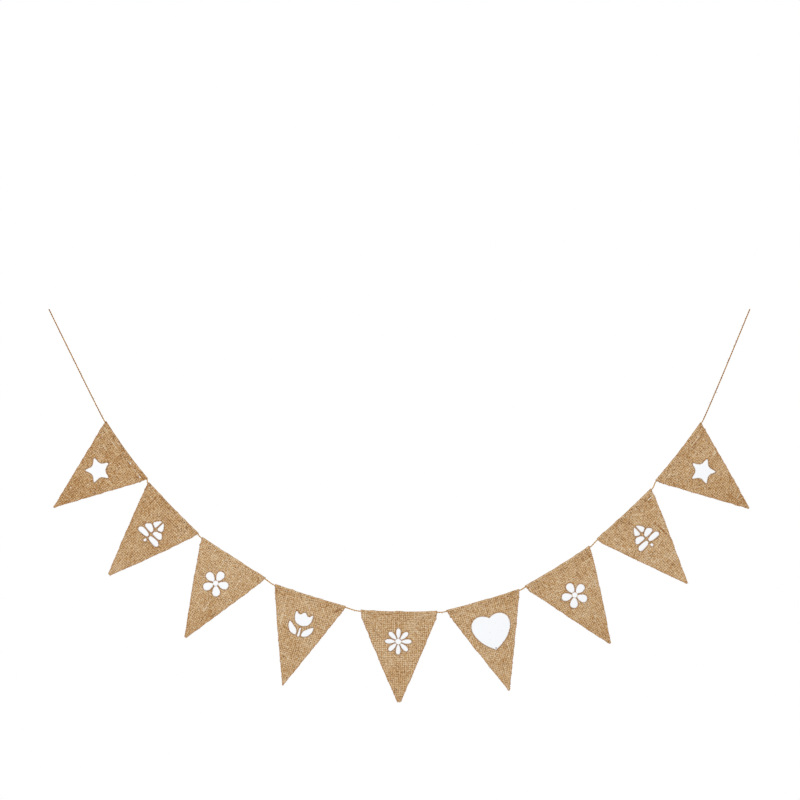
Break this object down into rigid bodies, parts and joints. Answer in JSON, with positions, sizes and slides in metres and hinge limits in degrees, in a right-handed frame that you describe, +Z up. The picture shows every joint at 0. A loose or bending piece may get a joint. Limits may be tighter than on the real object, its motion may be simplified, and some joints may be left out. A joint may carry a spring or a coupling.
{
  "type": "jute garland",
  "caption": "Hanging garland of triangular jute pennants, each hemmed over one thin jute twine that sags in an arc between its two ends.",
  "frame": {"origin": "the centre of the twine's left end, where it is tied or hooked up", "axes": "+X to the right along the garland as seen from the front, +Z up, -Y towards the viewer; the hems are folded to the back, +Y"},
  "size_m": [1.1867, 0.0106, 0.6643],
  "materials": {
    "jute_cloth": "matt plain-woven natural jute with white stencilled motifs on the front",
    "jute_twine": "matt twisted natural jute twine"
  },
  "bodies": {
    "root": {"twine": "jute_twine", "pennant_1": "jute_cloth", "pennant_2": "jute_cloth", "pennant_3": "jute_cloth", "pennant_4": "jute_cloth", "pennant_5": "jute_cloth", "pennant_6": "jute_cloth", "pennant_7": "jute_cloth", "pennant_8": "jute_cloth", "pennant_9": "jute_cloth"}
  },
  "joints": []
}
